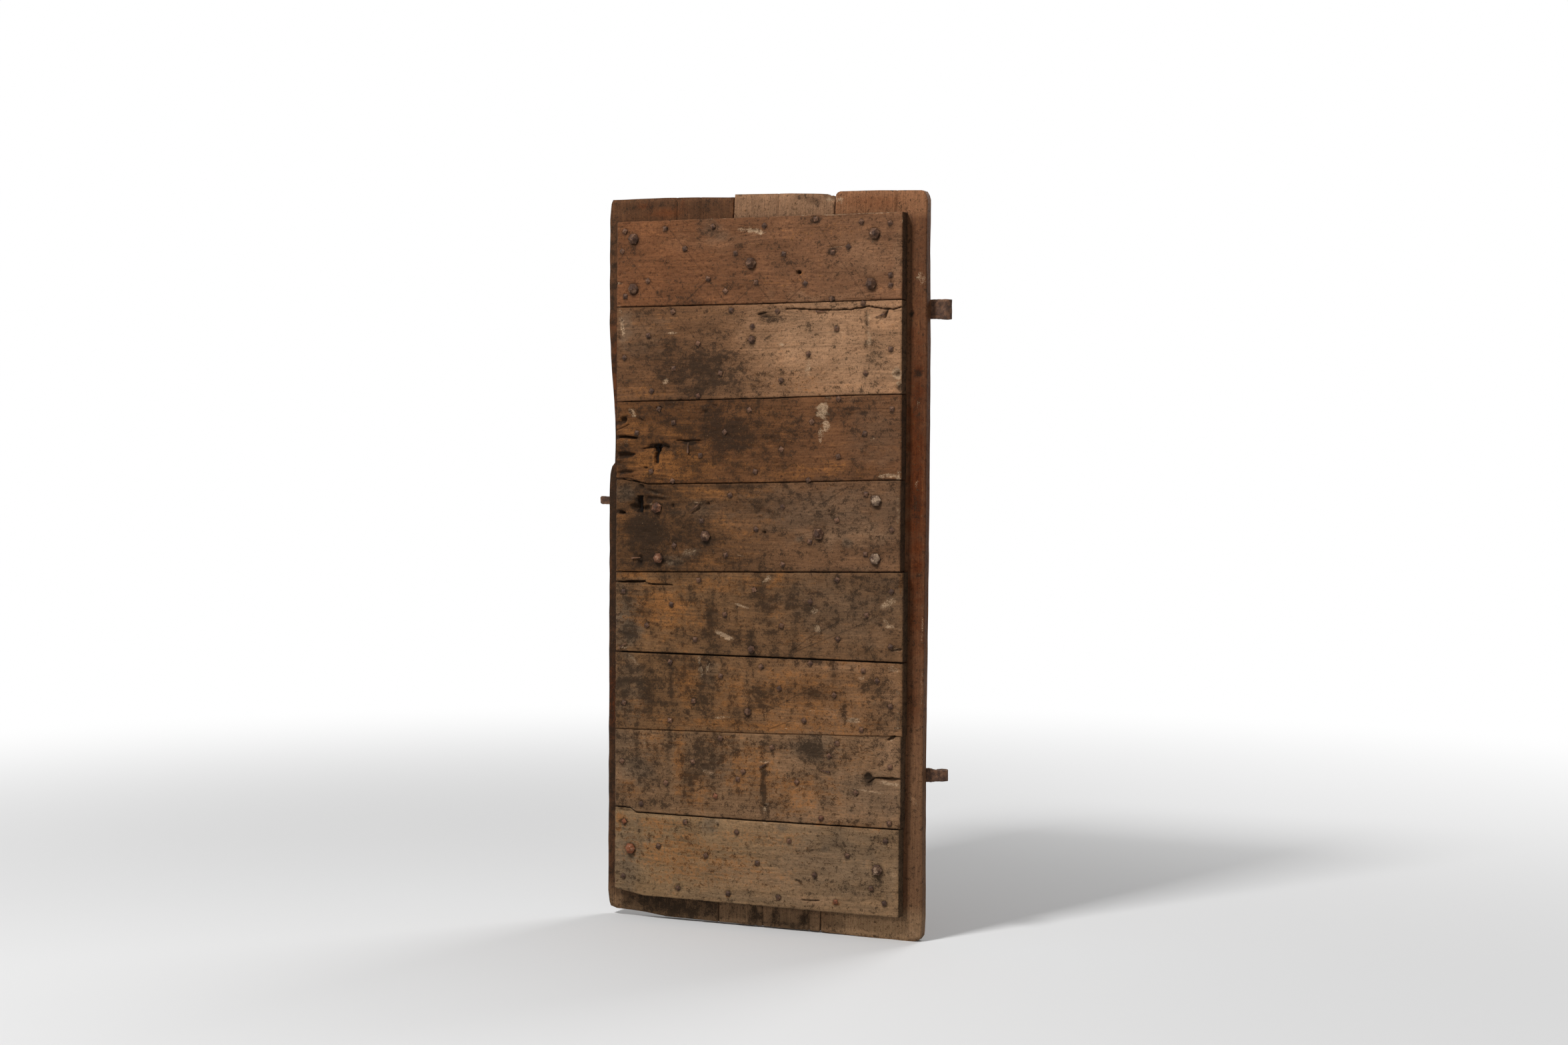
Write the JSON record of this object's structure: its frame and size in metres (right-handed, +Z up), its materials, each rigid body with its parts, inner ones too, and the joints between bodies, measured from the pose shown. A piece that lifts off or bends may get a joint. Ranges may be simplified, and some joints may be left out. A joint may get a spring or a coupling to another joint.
{
  "type": "plank door leaf",
  "caption": "Old plank door leaf: level boards nailed over upright boards, with strap hinges, keyhole, box lock, latch slot and lift latch.",
  "frame": {"origin": "on the hinge axis, at the middle of the lower hinge eye", "axes": "+Z up along the hinge axis, +X from the latch edge towards the hinge edge, +Y out of the back of the leaf"},
  "size_m": [0.9062, 0.1064, 1.754],
  "materials": {
    "front_boards": "worn, stained and oiled softwood",
    "back_boards": "worn reddish brown softwood",
    "nails": "hammered and rusted",
    "ironwork": "forged and rusted"
  },
  "bodies": {
    "leaf": {"front_board_1": "front_boards", "front_board_2": "front_boards", "front_board_3": "front_boards", "front_board_4": "front_boards", "front_board_5": "front_boards", "front_board_6": "front_boards", "front_board_7": "front_boards", "front_board_8": "front_boards", "back_board_left": "back_boards", "back_board_middle": "back_boards", "back_board_right": "back_boards", "small_nails_1": "nails", "small_nails_2": "nails", "small_nails_3": "nails", "small_nails_4": "nails", "small_nails_5": "nails", "small_nails_6": "nails", "small_nails_7": "nails", "small_nails_8": "nails", "large_nails": "nails", "round_nails": "nails", "bent_nails": "nails", "strap_nails_upper": "nails", "strap_nails_lower": "nails", "lock_nails": "nails", "latch_pivot": "nails", "latch_staple": "nails", "strap_hinge_upper": "ironwork", "strap_hinge_lower": "ironwork", "lock_case": "ironwork", "lock_guide": "ironwork", "lock_spring": "ironwork"},
    "latch": {"latch_bar": "ironwork"},
    "bolt": {"lock_bolt": "ironwork"}
  },
  "joints": [
    {"name": "latch_lift", "type": "hinge", "parent": "leaf", "child": "latch", "pos_m": [-0.595, -0.01065, 0.624], "axis": [0, 1, 0], "range_deg": [0, 7]},
    {"name": "bolt_throw", "type": "slide", "parent": "leaf", "child": "bolt", "axis": [-1, 0, 0], "range_m": [0, 0.03]}
  ]
}
